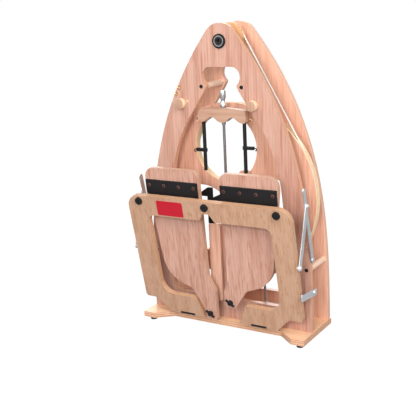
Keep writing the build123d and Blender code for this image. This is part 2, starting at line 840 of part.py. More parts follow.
# Treadle frame: a plywood board of two C-shaped legs and a crossbar
def frame_outline():
    half = [
        (0, frame_top),
        (frame_half, frame_top),
        (frame_half, leg_bottom),
        (leg_bottom_inner, leg_bottom),
        (foot_heel, foot_bottom),
        (foot_toe_bottom, foot_bottom),
        (foot_toe_top, foot_top),
        (leg_inner, foot_top),
        (leg_inner, frame_top - crossbar_depth),
        (notch_half_bottom, frame_top - crossbar_depth),
        (notch_half_top, frame_top - crossbar_depth + notch_depth),
        (0, frame_top - crossbar_depth + notch_depth),
    ]
    mirrored = [(-x, z) for x, z in reversed(half[1:-1])]
    face = make_face(Polyline(*half, *mirrored, close=True))
    for side in (-1, 1):
        face = corner(face, side * frame_half, frame_top, frame_corner)
        face = corner(face, side * frame_half, leg_bottom, leg_corner)
        face = corner(face, side * leg_inner, foot_top, foot_corner)
        face = corner(face, side * leg_inner, frame_top - crossbar_depth, window_corner)
        face = corner(face, side * foot_toe_top, foot_top, toe_top_corner)
        face = corner(face, side * foot_toe_bottom, foot_bottom, toe_corner)
    return face


frame_front = -frame_face_to_axis
frame_board = slab(frame_outline(), frame_front, frame_thickness)
for side in (-1, 1):
    frame_board -= hinge_plate(side, 0)
frame_back = frame_front + frame_thickness
save("treadle_frame_board", frame_place * frame_board)

# The batten is a wedge: its back lies parallel to the treadles
batten_z = frame_top - batten_drop - batten_relief - batten_depth / 2
batten = frame_place * Pos(0, frame_back + batten_thickness, batten_z) * Box(
    2 * batten_half, 2 * batten_thickness, batten_depth
)
wedge_cut = Box(3 * batten_half, 4 * batten_thickness, 6 * batten_depth, align=(Align.CENTER, Align.MIN, Align.CENTER))
batten -= treadle_place * Pos(0, -strip_thickness / 2, 0) * wedge_cut
save("hinge_batten", batten)
rubber_z = frame_top - frame_foot_drop
save(
    "treadle_frame_feet",
    *[
        frame_place * rod_y_axis(x, rubber_z, frame_foot_radius, frame_front - frame_foot_height, frame_front)
        for x in (-frame_foot_x, 0, frame_foot_x)
    ],
)
strip_middle = (strip_inner + strip_outer) / 2
strip_width = strip_outer - strip_inner
lower_leaf = strip_thickness * 0.8
lower_leaf_y = (lower_leaf - strip_thickness) / 2
lower_leaf_z = -strip_gap - strip_lower / 2
save(
    "treadle_strip_lower_leaves",
    *[
        treadle_place * Pos(side * strip_middle, lower_leaf_y, lower_leaf_z) * Box(
            strip_width, lower_leaf, strip_lower
        )
        for side in (-1, 1)
    ],
)


# Treadles: a wide board that narrows to a toe, carried by a black strip
def treadle_outline(shoulder, toe_bottom, straight):
    points = [
        (treadle_inner, treadle_top),
        (treadle_outer_top, treadle_top),
        (treadle_outer_top, treadle_taper_start),
        (treadle_outer, shoulder),
        (toe_outer_top, shoulder - toe_step),
        (toe_outer_bottom, toe_bottom + straight),
        (toe_outer_bottom, toe_bottom),
        (toe_inner_bottom, toe_bottom),
        (toe_inner_top, neck_bottom_z),
        (treadle_inner, neck_top_z),
    ]
    face = make_face(Polyline(*points, close=True))
    face = corner(face, *points[0], treadle_inner_corner)
    face = corner(face, *points[1], treadle_outer_corner)
    face = corner(face, *points[3], shoulder_radius)
    face = corner(face, *points[4], neck_radius)
    face = corner(face, *points[6], toe_end_radius)
    face = corner(face, *points[7], toe_end_radius)
    face = corner(face, *points[8], toe_inner_radius)
    face = corner(face, *points[9], neck_inner_radius)
    return Pos(0, -strip_z) * face


def treadle(side, shoulder, toe_bottom, straight):
    """Build one treadle upright about its hinge line, for the +X side, then mirror it if needed."""
    front = strip_thickness / 2
    board = slab(treadle_outline(shoulder, toe_bottom, straight), front, treadle_thickness)
    strip = Pos(strip_middle, 0, strip_upper / 2) * Box(strip_width, strip_thickness, strip_upper)
    strip = chamfer(strip.edges().filter_by(Axis.X).group_by(Axis.Z)[-1].sort_by(Axis.Y)[0], 1)
    strip += rod_x_axis(0, 0, strip_thickness / 2, strip_inner, strip_outer)
    screws = []
    screw_pitch = (strip_width - 2 * strip_screw_inset) / (strip_screws - 1)
    for index in range(strip_screws):
        x = strip_inner + strip_screw_inset + screw_pitch * index
        z = strip_upper * strip_screw_share
        head_back = -strip_thickness / 2
        screw = rod_y_axis(x, z, strip_screw_radius, head_back - strip_screw_head, head_back)
        shank = rod_y_axis(x, z, screw_radius / 2, head_back, head_back + strip_screw_length)
        screws.append(screw + shank)
        strip -= shank
        board -= shank
    knob_z = toe_bottom + knob_toe_rise - strip_z
    bolt_back = front + treadle_thickness + strap_thickness + bolt_proud
    bolt = rod_y_axis(knob_toe_x, knob_z, wing_bolt_radius, front, bolt_back)
    bore = rod_y_axis(knob_toe_x, knob_z, wing_bolt_radius + running_clearance, front, bolt_back)
    hub = rod_y_axis(knob_toe_x, knob_z, wing_hub_radius, front - wing_hub_height - knob_gap, front - knob_gap)
    wing_y = front - knob_gap - wing_hub_height * 0.6
    wings = Box(wing_span, wing_hub_height * 0.8, wing_thickness)
    wings = fillet(wings.edges().filter_by(Axis.Z), wing_round)
    wings = Pos(knob_toe_x, wing_y, knob_z) * Rot(0, wing_turn, 0) * wings
    knob_solid = hub + wings + bolt + rod_y_axis(knob_toe_x, knob_z, wing_bolt_radius, front - knob_gap, front)
    strap_z = knob_z - strap_half + strap_length / 2
    strap = slab(
        Pos(knob_toe_x, strap_z) * RectangleRounded(2 * strap_half, strap_length, strap_round),
        front + treadle_thickness,
        strap_thickness,
    )
    board -= bore
    strap -= bore
    pieces = [board, strip, Compound(children=screws), strap, knob_solid]
    if side < 0:
        pieces = [mirror(piece, Plane.YZ) for piece in pieces]
    return [treadle_place * piece for piece in pieces]


for name, side, shoulder, toe_bottom, straight in (
    ("left", -1, left_shoulder, left_toe_bottom, left_toe_straight),
    ("right", 1, right_shoulder, right_toe_bottom, right_toe_straight),
):
    board, strip, screws, strap, wing = treadle(side, shoulder, toe_bottom, straight)
    save(f"treadle_{name}", board)
    save(f"treadle_strip_{name}", strip)
    save(f"strip_screws_{name}", screws)
    save(f"toe_strap_{name}", strap)
    save(f"wing_knob_{name}", wing)

# Folding stays at both sides: the rear link swings on the panel, the front link on the knee
stay_panel_y = front_panel_y + panel_thickness / 2
stay_frame = frame_place * Pos(0, frame_front + frame_thickness / 2, stay_frame_s)
frame_pin_y = stay_frame.position.Y
frame_pin_z = stay_frame.position.Z
chord_y = frame_pin_y - stay_panel_y
chord_z = frame_pin_z - stay_panel_z
chord = sqrt(chord_y**2 + chord_z**2)
rise = sqrt(stay_length**2 - (chord / 2) ** 2)
knee_y = (stay_panel_y + frame_pin_y) / 2 + rise * chord_z / chord
knee_z = (stay_panel_z + frame_pin_z) / 2 - rise * chord_y / chord
print("stay knee", round(knee_y, 2), round(knee_z, 2), "frame pin", round(frame_pin_y, 2), round(frame_pin_z, 2))


def stay_bar(y0, z0, y1, z1, x0, before, after):
    """Flat bar with round ends in a YZ plane, longer than its two pivots by the given ends."""
    length = sqrt((y1 - y0) ** 2 + (z1 - z0) ** 2)
    bar = Pos((length + after - before) / 2, 0) * SlotOverall(
        length + before + after + stay_width, stay_width
    )
    plane = Plane((x0, y0, z0), x_dir=(0, (y1 - y0) / length, (z1 - z0) / length), z_dir=(1, 0, 0))
    return extrude(plane * bar, stay_thickness)


panel_studs = []
frame_studs = []
for name, side in (("left", -1), ("right", 1)):
    bore = stay_stud_radius + running_clearance
    rear = stay_bar(stay_panel_y, stay_panel_z, knee_y, knee_z, stay_x, 0, stay_tail)
    rear -= rod_x_axis(stay_panel_y, stay_panel_z, bore, stay_x, stay_outer)
    rear += rod_x_axis(knee_y, knee_z, stay_stud_radius, stay_outer, front_link_outer + stay_play)
    rear += rod_x_axis(
        knee_y, knee_z, stay_head_radius, front_link_outer + stay_play, front_link_outer + stay_play + stay_head
    )
    front = stay_bar(knee_y, knee_z, frame_pin_y, frame_pin_z, front_link_x, 0, 0)
    front -= rod_x_axis(knee_y, knee_z, bore, front_link_x, front_link_outer)
    front += rod_x_axis(frame_pin_y, frame_pin_z, stay_head_radius, front_link_outer, front_link_outer + stay_head)
    panel_edge = arch_half_width(stay_panel_z) - 2
    stud = rod_x_axis(stay_panel_y, stay_panel_z, stay_stud_radius, panel_edge, stay_outer + stay_play)
    stud += rod_x_axis(
        stay_panel_y, stay_panel_z, stay_head_radius, stay_outer + stay_play, stay_outer + stay_play + stay_head
    )
    stud += rod_x_axis(stay_panel_y, stay_panel_z, stay_head_radius, panel_edge + 2, stay_x - stay_play)
    frame_stud = rod_x_axis(frame_pin_y, frame_pin_z, stay_head_radius, frame_half, front_link_x - stay_play)
    if side < 0:
        rear, front, stud, frame_stud = [mirror(p, Plane.YZ) for p in (rear, front, stud, frame_stud)]
    save(f"stay_rear_{name}", rear)
    save(f"stay_front_{name}", front)
    panel_studs.append(stud)
    frame_studs.append(frame_stud)

# Latch on the right side: a zinc plate that swings on the panel and lies over the frame's leg
latch = Pos(0, latch_end - latch_length / 2, 0) * Box(latch_thickness, latch_length, latch_width)
latch = fillet(latch.edges().filter_by(Axis.X), latch_round)
latch = Pos(latch_x + latch_thickness / 2, stay_panel_y, latch_z) * Rot(-latch_tilt, 0, 0) * latch
latch -= rod_x_axis(stay_panel_y, latch_z, stay_stud_radius + running_clearance, latch_x, latch_outer)
latch_edge = arch_half_width(latch_z) - 2
latch_head = latch_outer + stay_play
latch_screw = rod_x_axis(stay_panel_y, latch_z, stay_stud_radius, latch_edge, latch_head)
latch_screw += rod_x_axis(stay_panel_y, latch_z, stay_head_radius, latch_head, latch_head + stay_head)
latch_screw += rod_x_axis(stay_panel_y, latch_z, stay_head_radius, latch_edge + 2, latch_x - stay_play)
save("fold_latch", latch)
panel_studs.append(latch_screw)
save("panel_studs", *panel_studs)
for stud in panel_studs:
    front_panel -= stud
save("front_panel", front_panel)
latch_s = (latch_z - fold_z) / cos(radians(frame_lean))
latch_spot = frame_place * Pos(0, frame_front + frame_thickness / 2, latch_s)
catch_y = latch_spot.position.Y
catch_z = latch_z + (stay_panel_y - catch_y) * tan(radians(latch_tilt))
frame_studs.append(rod_x_axis(catch_y, catch_z, catch_radius, frame_half, latch_x - stay_play))
save("frame_studs", *frame_studs)
print("strip axis", round(strip_y, 2), round(strip_z, 2))
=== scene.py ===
# %% [markdown]
# # A folding double-treadle spinning wheel, folded for carrying
# The solids come from CAD: two arched panels, a drive wheel between them, a flyer stored in the front
# post and a treadle frame that stands folded against the body. This lesson dresses those solids with
# wood, metal and polymer finishes, adds the small turned and moulded pieces that solids leave plain,
# and sets the camera.

# %% Load the frame
import json
import math

import bmesh
import bpy
from mathutils import Matrix, Vector


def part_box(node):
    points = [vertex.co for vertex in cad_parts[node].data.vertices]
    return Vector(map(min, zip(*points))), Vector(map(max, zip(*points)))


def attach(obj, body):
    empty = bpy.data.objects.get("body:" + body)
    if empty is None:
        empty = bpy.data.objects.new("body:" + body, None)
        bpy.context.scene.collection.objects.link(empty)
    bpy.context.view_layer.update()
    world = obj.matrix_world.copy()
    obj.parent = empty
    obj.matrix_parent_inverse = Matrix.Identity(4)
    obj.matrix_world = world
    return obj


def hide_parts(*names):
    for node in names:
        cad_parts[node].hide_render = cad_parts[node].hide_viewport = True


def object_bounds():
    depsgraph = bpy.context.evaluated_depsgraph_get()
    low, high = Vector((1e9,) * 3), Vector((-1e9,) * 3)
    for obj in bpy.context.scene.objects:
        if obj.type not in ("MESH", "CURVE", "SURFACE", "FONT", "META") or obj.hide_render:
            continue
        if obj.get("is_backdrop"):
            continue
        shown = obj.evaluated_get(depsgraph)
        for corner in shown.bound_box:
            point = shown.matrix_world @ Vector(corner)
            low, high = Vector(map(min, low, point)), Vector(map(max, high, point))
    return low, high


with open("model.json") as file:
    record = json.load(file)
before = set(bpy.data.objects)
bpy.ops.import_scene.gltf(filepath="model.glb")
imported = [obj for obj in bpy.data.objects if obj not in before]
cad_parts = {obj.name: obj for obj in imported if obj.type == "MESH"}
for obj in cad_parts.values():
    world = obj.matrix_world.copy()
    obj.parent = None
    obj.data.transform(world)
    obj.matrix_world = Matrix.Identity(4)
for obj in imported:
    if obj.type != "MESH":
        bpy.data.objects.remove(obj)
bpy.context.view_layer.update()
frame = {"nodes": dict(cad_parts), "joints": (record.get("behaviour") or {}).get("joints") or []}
nodes = frame["nodes"]

MM = 0.001
FRAME_LEAN = math.radians(11.3)
TREADLE_LEAN = math.radians(5.7)
UPRIGHT = Vector((0, 1, 0))
FLAT = Vector((0, 0, 1))
FRAME_FACING = Vector((0, math.cos(FRAME_LEAN), math.sin(FRAME_LEAN)))
TREADLE_FACING = Vector((0, math.cos(TREADLE_LEAN), math.sin(TREADLE_LEAN)))

# %% [markdown]
# ## Tools for node trees
# Every finish below is a small node tree. Four helpers keep the cells short: they add a node and set
# its values, start a group or a material, and put a group into a tree. Shared effects are node groups,
# which are built once and get their own values in each material, as a workshop keeps one jig for many
# boards.


# %% Node helpers
def add_node(tree, kind, values=None, **settings):
    """Add a node, set its properties and then the default values of its inputs."""
    made = tree.nodes.new(kind)
    for key, value in settings.items():
        setattr(made, key, value)
    for key, value in (values or {}).items():
        made.inputs[key].default_value = value
    return made


def start_group(name, inputs, outputs):
    """An empty shader group with named sockets: (name, socket type, default)."""
    group = bpy.data.node_groups.new(name, "ShaderNodeTree")
    for label, kind, default in inputs:
        socket = group.interface.new_socket(name=label, in_out="INPUT", socket_type=kind)
        socket.default_value = default
    for label, kind in outputs:
        group.interface.new_socket(name=label, in_out="OUTPUT", socket_type=kind)
    return group, group.nodes.new("NodeGroupInput"), group.nodes.new("NodeGroupOutput")


def start_material(name):
    """A material with a bare Principled shader: (material, tree, shader)."""
    material = bpy.data.materials.new(name)
    material.use_nodes = True
    tree = material.node_tree
    return material, tree, tree.nodes["Principled BSDF"]


def place_group(tree, group, values):
    """Put a node group into a tree with its own values."""
    placed = tree.nodes.new("ShaderNodeGroup")
    placed.node_tree = group
    for key, value in values.items():
        placed.inputs[key].default_value = value
    return placed


# %% [markdown]
# ## Hardwood grain
# The boards are pale pinkish hardwood under satin lacquer. Long soft bands run up each board, with fine
# pores and short flecks between them. A wave texture, stretched along the grain and pushed about by
# noise, gives the bands, and stretched noises give the pores, the flecks and the wider reddish streaks.
# A photograph would repeat; this pattern follows any board.

# %% Grain group
FLOAT = "NodeSocketFloat"
COLOUR = "NodeSocketColor"
VECTOR = "NodeSocketVector"

grain_group, grain_in, grain_out = start_group(
    "hardwood_grain",
    [
        ("Vector", VECTOR, (0, 0, 0)),
        ("Light", COLOUR, (0.7, 0.42, 0.31, 1)),
        ("Dark", COLOUR, (0.55, 0.29, 0.2, 1)),
        ("Bands", FLOAT, 46.0),
        ("Strength", FLOAT, 1.1),
    ],
    [("Color", COLOUR), ("Height", FLOAT)],
)
link = grain_group.links.new
bands = add_node(
    grain_group, "ShaderNodeTexWave",
    {"Distortion": 6.0, "Detail": 3.0, "Detail Scale": 0.5, "Detail Roughness": 0.65},
    bands_direction="X",
)
pores = add_node(grain_group, "ShaderNodeTexNoise", {"Scale": 420.0, "Detail": 4.0, "Roughness": 0.7})
flecks = add_node(grain_group, "ShaderNodeTexNoise", {"Scale": 260.0, "Detail": 1.0, "Roughness": 0.4})
streaks = add_node(grain_group, "ShaderNodeTexNoise", {"Scale": 75.0, "Detail": 3.0, "Roughness": 0.6})
tone = add_node(grain_group, "ShaderNodeTexNoise", {"Scale": 9.0, "Detail": 3.0, "Roughness": 0.55})
fleck_cut = add_node(
    grain_group, "ShaderNodeMapRange", {"From Min": 0.58, "From Max": 0.68, "To Min": 0.0, "To Max": 0.35}
)
streak_cut = add_node(
    grain_group, "ShaderNodeMapRange", {"From Min": 0.45, "From Max": 0.72, "To Min": 0.0, "To Max": 0.45}
)
band_part = add_node(grain_group, "ShaderNodeMath", {1: 0.14}, operation="MULTIPLY")
pore_part = add_node(grain_group, "ShaderNodeMath", {1: 0.7}, operation="MULTIPLY")
tone_part = add_node(grain_group, "ShaderNodeMath", {1: 0.4}, operation="MULTIPLY")
depth = add_node(grain_group, "ShaderNodeMath", {2: -0.33}, operation="MULTIPLY_ADD", use_clamp=True)
blend_tone = add_node(grain_group, "ShaderNodeMix", data_type="RGBA")
for texture in (bands, pores, flecks, streaks, tone):
    link(grain_in.outputs["Vector"], texture.inputs["Vector"])
link(grain_in.outputs["Bands"], bands.inputs["Scale"])
link(bands.outputs["Fac"], band_part.inputs[0])
link(pores.outputs["Fac"], pore_part.inputs[0])
link(tone.outputs["Fac"], tone_part.inputs[0])
link(flecks.outputs["Fac"], fleck_cut.inputs["Value"])
link(streaks.outputs["Fac"], streak_cut.inputs["Value"])
total = band_part.outputs[0]
for part in (
    pore_part.outputs[0], tone_part.outputs[0], fleck_cut.outputs["Result"], streak_cut.outputs["Result"]
):
    added = add_node(grain_group, "ShaderNodeMath", operation="ADD")
    link(total, added.inputs[0])
    link(part, added.inputs[1])
    total = added.outputs[0]
link(total, depth.inputs[0])
link(grain_in.outputs["Strength"], depth.inputs[1])
link(depth.outputs[0], blend_tone.inputs["Factor"])
link(grain_in.outputs["Light"], blend_tone.inputs["A"])
link(grain_in.outputs["Dark"], blend_tone.inputs["B"])
link(blend_tone.outputs["Result"], grain_out.inputs["Color"])
link(depth.outputs[0], grain_out.inputs["Height"])
print("made", grain_group.name)

# %% [markdown]
# ## Plywood edges
# The panels, treadles, frame and base are plywood. Where a board is cut, its edge shows thin veneers,
# light and dark by turns, and looks warmer than the lacquered face. The surface's own normal tells a
# face from an edge, and the depth through the board, measured from the Object coordinates, tells one
# veneer from the next.

# %% Ply edge group
ply_group, ply_in, ply_out = start_group(
    "ply_edge",
    [
        ("Axis", VECTOR, (0, 1, 0)),
        ("Veneer", FLOAT, 0.0024),
        ("Light", COLOUR, (0.8, 0.5, 0.3, 1)),
        ("Dark", COLOUR, (0.55, 0.28, 0.15, 1)),
    ],
    [("Color", COLOUR), ("Face", FLOAT)],
)
link = ply_group.links.new
place = add_node(ply_group, "ShaderNodeTexCoord")
through = add_node(ply_group, "ShaderNodeVectorMath", operation="DOT_PRODUCT")
facing = add_node(ply_group, "ShaderNodeVectorMath", operation="DOT_PRODUCT")
layer = add_node(ply_group, "ShaderNodeMath", operation="DIVIDE")
turn = add_node(ply_group, "ShaderNodeMath", {1: math.pi}, operation="MULTIPLY")
swing = add_node(ply_group, "ShaderNodeMath", operation="SINE")
veneer = add_node(
    ply_group, "ShaderNodeMapRange", {"From Min": -0.35, "From Max": 0.35, "To Min": 0.0, "To Max": 1.0}
)
streak = add_node(ply_group, "ShaderNodeTexNoise", {"Scale": 140.0, "Detail": 3.0})
uneven = add_node(ply_group, "ShaderNodeMath", {1: 1.2}, operation="MULTIPLY")
shade = add_node(ply_group, "ShaderNodeMath", operation="MULTIPLY", use_clamp=True)
edge_colour = add_node(ply_group, "ShaderNodeMix", data_type="RGBA")
size = add_node(ply_group, "ShaderNodeMath", operation="ABSOLUTE")
face_mask = add_node(ply_group, "ShaderNodeMapRange", {"From Min": 0.75, "From Max": 0.9})
link(place.outputs["Object"], through.inputs[0])
link(place.outputs["Object"], streak.inputs["Vector"])
link(place.outputs["Normal"], facing.inputs[0])
link(ply_in.outputs["Axis"], through.inputs[1])
link(ply_in.outputs["Axis"], facing.inputs[1])
link(through.outputs["Value"], layer.inputs[0])
link(ply_in.outputs["Veneer"], layer.inputs[1])
link(layer.outputs[0], turn.inputs[0])
link(turn.outputs[0], swing.inputs[0])
link(swing.outputs[0], veneer.inputs["Value"])
link(streak.outputs["Fac"], uneven.inputs[0])
link(veneer.outputs["Result"], shade.inputs[0])
link(uneven.outputs[0], shade.inputs[1])
link(shade.outputs[0], edge_colour.inputs["Factor"])
link(ply_in.outputs["Light"], edge_colour.inputs["A"])
link(ply_in.outputs["Dark"], edge_colour.inputs["B"])
link(facing.outputs["Value"], size.inputs[0])
link(size.outputs[0], face_mask.inputs["Value"])
link(edge_colour.outputs["Result"], ply_out.inputs["Color"])
link(face_mask.outputs["Result"], ply_out.inputs["Face"])
print("made", ply_group.name)

# %% [markdown]
# ## Handled surfaces
# Lacquer, polymer and metal are never evenly glossy: hands and cloths leave cloudy patches. One group
# turns noise into a slightly uneven roughness and a fine bump height, with the roughness limits and the
# grain size as inputs.

# %% Handling group
worn_group, worn_in, worn_out = start_group(
    "handled_surface",
    [
        ("Vector", VECTOR, (0, 0, 0)),
        ("Fine Scale", FLOAT, 900.0),
        ("Smooth", FLOAT, 0.3),
        ("Rough", FLOAT, 0.5),
    ],
    [("Roughness", FLOAT), ("Height", FLOAT), ("Cloud", FLOAT)],
)
link = worn_group.links.new
cloud = add_node(worn_group, "ShaderNodeTexNoise", {"Scale": 22.0, "Detail": 4.0, "Roughness": 0.6})
fine = add_node(worn_group, "ShaderNodeTexNoise", {"Detail": 2.0})
spread = add_node(worn_group, "ShaderNodeMapRange", {"From Min": 0.3, "From Max": 0.7})
link(worn_in.outputs["Vector"], cloud.inputs["Vector"])
link(worn_in.outputs["Vector"], fine.inputs["Vector"])
link(worn_in.outputs["Fine Scale"], fine.inputs["Scale"])
link(cloud.outputs["Fac"], spread.inputs["Value"])
link(worn_in.outputs["Smooth"], spread.inputs["To Min"])
link(worn_in.outputs["Rough"], spread.inputs["To Max"])
link(spread.outputs["Result"], worn_out.inputs["Roughness"])
link(fine.outputs["Fac"], worn_out.inputs["Height"])
link(cloud.outputs["Fac"], worn_out.inputs["Cloud"])
print("made", worn_group.name)

# %% [markdown]
# ## Wood finishes
# One function makes every wooden finish: it picks the grain's direction with a Mapping node, lays the
# grain colour on the faces and the veneers on the edges, and lets the grain's height make a very small
# bump. Solid pieces, such as dowels and rods, have no veneers, so they use the grain alone. The knobs
# use the mix for their paler sides, which are a painted highlight where light falls on them.

# %% Wood finishes
GRAIN_UP = (1.0, 1.0, 0.05)
GRAIN_ACROSS = (0.05, 1.0, 1.0)
GRAIN_ALONG_DEPTH = (1.0, 0.05, 1.0)


def wood_finish(
    name, light, dark, stretch, axis=None, edge_light=None, edge_dark=None, shift=0.0, turn_y=0.0
):
    """Grain on the faces and, if the board has an axis through it, veneers on its edges."""
    material, tree, shader = start_material(name)
    coordinates = add_node(tree, "ShaderNodeTexCoord")
    mapping = add_node(
        tree, "ShaderNodeMapping",
        {"Scale": stretch, "Location": (shift, 0, 0), "Rotation": (0, turn_y, 0)},
    )
    grain = place_group(tree, grain_group, {"Light": (*light, 1), "Dark": (*dark, 1)})
    handled = place_group(tree, worn_group, {"Smooth": 0.36, "Rough": 0.5})
    bump = add_node(tree, "ShaderNodeBump", {"Strength": 0.12, "Distance": 0.0006})
    join = tree.links.new
    join(coordinates.outputs["Object"], mapping.inputs["Vector"])
    join(mapping.outputs["Vector"], grain.inputs["Vector"])
    join(coordinates.outputs["Object"], handled.inputs["Vector"])
    join(grain.outputs["Height"], bump.inputs["Height"])
    join(bump.outputs["Normal"], shader.inputs["Normal"])
    join(handled.outputs["Roughness"], shader.inputs["Roughness"])
    if axis is None:
        join(grain.outputs["Color"], shader.inputs["Base Color"])
    else:
        ply = place_group(
            tree, ply_group, {"Axis": axis, "Light": (*edge_light, 1), "Dark": (*edge_dark, 1)}
        )
        choose = add_node(tree, "ShaderNodeMix", data_type="RGBA")
        join(ply.outputs["Face"], choose.inputs["Factor"])
        join(ply.outputs["Color"], choose.inputs["A"])
        join(grain.outputs["Color"], choose.inputs["B"])
        join(choose.outputs["Result"], shader.inputs["Base Color"])
    shader.inputs["Specular IOR Level"].default_value = 0.35
    shader.inputs["Coat Weight"].default_value = 0.12
    shader.inputs["Coat Roughness"].default_value = 0.25
    return material


FACE_LIGHT = (0.66, 0.415, 0.33)
FACE_DARK = (0.44, 0.20, 0.135)
EDGE_LIGHT = (0.80, 0.43, 0.27)
EDGE_DARK = (0.50, 0.22, 0.115)
RIM_LIGHT = (0.92, 0.68, 0.40)
RIM_DARK = (0.80, 0.52, 0.28)
# The wheel's faces are a lighter copy of the panel wood: painted fill light against the shade between the
# panels.
WHEEL_PAINTED_FILL_LIGHT = (0.88, 0.535, 0.395)
WHEEL_PAINTED_FILL_DARK = (0.62, 0.28, 0.175)
# The back panel is a lighter copy of the panel wood: painted fill light against the shade between the
# panels.
BACK_PAINTED_FILL_LIGHT = (0.89, 0.545, 0.40)
BACK_PAINTED_FILL_DARK = (0.70, 0.35, 0.23)
FRAME_LIGHT = (0.59, 0.37, 0.25)
FRAME_DARK = (0.42, 0.215, 0.125)
FRAME_EDGE_LIGHT = (0.66, 0.39, 0.235)
FRAME_EDGE_DARK = (0.40, 0.195, 0.105)
TREADLE_EDGE_LIGHT = (0.68, 0.42, 0.30)
TREADLE_EDGE_DARK = (0.42, 0.21, 0.13)
BASE_LIGHT = (1.0, 0.68, 0.44)
BASE_DARK = (0.92, 0.54, 0.31)
BASE_EDGE_LIGHT = (0.80, 0.47, 0.30)
BASE_EDGE_DARK = (0.44, 0.20, 0.11)
TURNED_LIGHT = (0.55, 0.35, 0.25)
TURNED_DARK = (0.42, 0.22, 0.14)
ROD_LIGHT = (0.98, 0.645, 0.49)
ROD_DARK = (0.74, 0.41, 0.28)
# Paler colours for the knobs' sides: a painted highlight where light falls on them.
KNOB_SIDE_PAINTED_HIGHLIGHT = (0.92, 0.70, 0.48)
KNOB_SIDE_PAINTED_HIGHLIGHT_DARK = (0.74, 0.50, 0.30)
DOWEL_LIGHT = (1.0, 0.74, 0.56)
DOWEL_DARK = (0.88, 0.58, 0.42)
WHORL_LIGHT = (0.84, 0.48, 0.25)
WHORL_DARK = (0.64, 0.31, 0.13)

panel_wood = wood_finish("panel_wood", FACE_LIGHT, FACE_DARK, GRAIN_UP, UPRIGHT, EDGE_LIGHT, EDGE_DARK)
# The back panel's lighter colours are painted fill light.
back_wood_painted_fill = wood_finish(
    "back_panel_wood_painted_fill", BACK_PAINTED_FILL_LIGHT, BACK_PAINTED_FILL_DARK, GRAIN_UP, UPRIGHT, BACK_PAINTED_FILL_LIGHT, BACK_PAINTED_FILL_DARK, shift=0.7
)
# The wheel's lighter face colours are painted fill light.
wheel_wood_painted_fill = wood_finish(
    "wheel_wood_painted_fill", WHEEL_PAINTED_FILL_LIGHT, WHEEL_PAINTED_FILL_DARK, GRAIN_UP, UPRIGHT, RIM_LIGHT, RIM_DARK, shift=1.6, turn_y=0.4
)
treadle_wood = wood_finish(
    "treadle_wood", FACE_LIGHT, FACE_DARK, GRAIN_UP, TREADLE_FACING,
    TREADLE_EDGE_LIGHT, TREADLE_EDGE_DARK, shift=2.3,
)
frame_ply = wood_finish(
    "frame_plywood", FRAME_LIGHT, FRAME_DARK, GRAIN_UP, FRAME_FACING,
    FRAME_EDGE_LIGHT, FRAME_EDGE_DARK, shift=3.1,
)
base_ply = wood_finish(
    "base_plywood", BASE_LIGHT, BASE_DARK, GRAIN_ACROSS, FLAT, BASE_EDGE_LIGHT, BASE_EDGE_DARK, shift=4.0
)
# The knobs' paler sides are a painted highlight.
knob_wood_painted_highlight = wood_finish(
    "knob_wood_painted_highlight", TURNED_LIGHT, TURNED_DARK, GRAIN_UP, UPRIGHT, KNOB_SIDE_PAINTED_HIGHLIGHT, KNOB_SIDE_PAINTED_HIGHLIGHT_DARK, shift=4.7
)
dowel_wood = wood_finish("dowel_wood", DOWEL_LIGHT, DOWEL_DARK, GRAIN_ALONG_DEPTH)
whorl_wood = wood_finish("whorl_wood", WHORL_LIGHT, WHORL_DARK, GRAIN_ALONG_DEPTH, shift=2.9)
rod_wood = wood_finish("rod_wood", ROD_LIGHT, ROD_DARK, GRAIN_UP, shift=5.2)
yoke_wood = wood_finish("yoke_wood", TURNED_LIGHT, TURNED_DARK, GRAIN_ACROSS, shift=6.4)
print("materials so far:", len(bpy.data.materials))

# %% [markdown]
# ## Metals
# The stays and the latch are zinc-plated strip, drawn and a little dull. The axle, crank and flyer
# shaft are bright steel, the orifice is chromed, and the small eyes and hooks are brass. Most have fine
# lines along the way they were drawn or turned, so a stretched noise varies roughness and height.


# %% Metal finishes
TARNISH = 0.8
LINES_UP = (1, 1, 0.15)
LINES_ALONG_DEPTH = (1, 0.15, 1)
FAINT_LINES = (1, 1, 0.3)
NO_LINES = (1, 1, 1)


def metal_finish(name, colour, smooth, rough, stretch):
    """Bare metal with fine drawn lines and a cloudy tarnish."""
    material, tree, shader = start_material(name)
    coordinates = add_node(tree, "ShaderNodeTexCoord")
    mapping = add_node(tree, "ShaderNodeMapping", {"Scale": stretch})
    handled = place_group(tree, worn_group, {"Fine Scale": 700.0, "Smooth": smooth, "Rough": rough})
    bump = add_node(tree, "ShaderNodeBump", {"Strength": 0.08, "Distance": 0.0003})
    tarnish = add_node(tree, "ShaderNodeMix", data_type="RGBA")
    join = tree.links.new
    join(coordinates.outputs["Object"], mapping.inputs["Vector"])
    join(mapping.outputs["Vector"], handled.inputs["Vector"])
    join(handled.outputs["Roughness"], shader.inputs["Roughness"])
    join(handled.outputs["Height"], bump.inputs["Height"])
    join(bump.outputs["Normal"], shader.inputs["Normal"])
    join(handled.outputs["Cloud"], tarnish.inputs["Factor"])
    tarnish.inputs["A"].default_value = (*colour, 1)
    tarnish.inputs["B"].default_value = (*[c * TARNISH for c in colour], 1)
    join(tarnish.outputs["Result"], shader.inputs["Base Color"])
    shader.inputs["Metallic"].default_value = 1.0
    return material


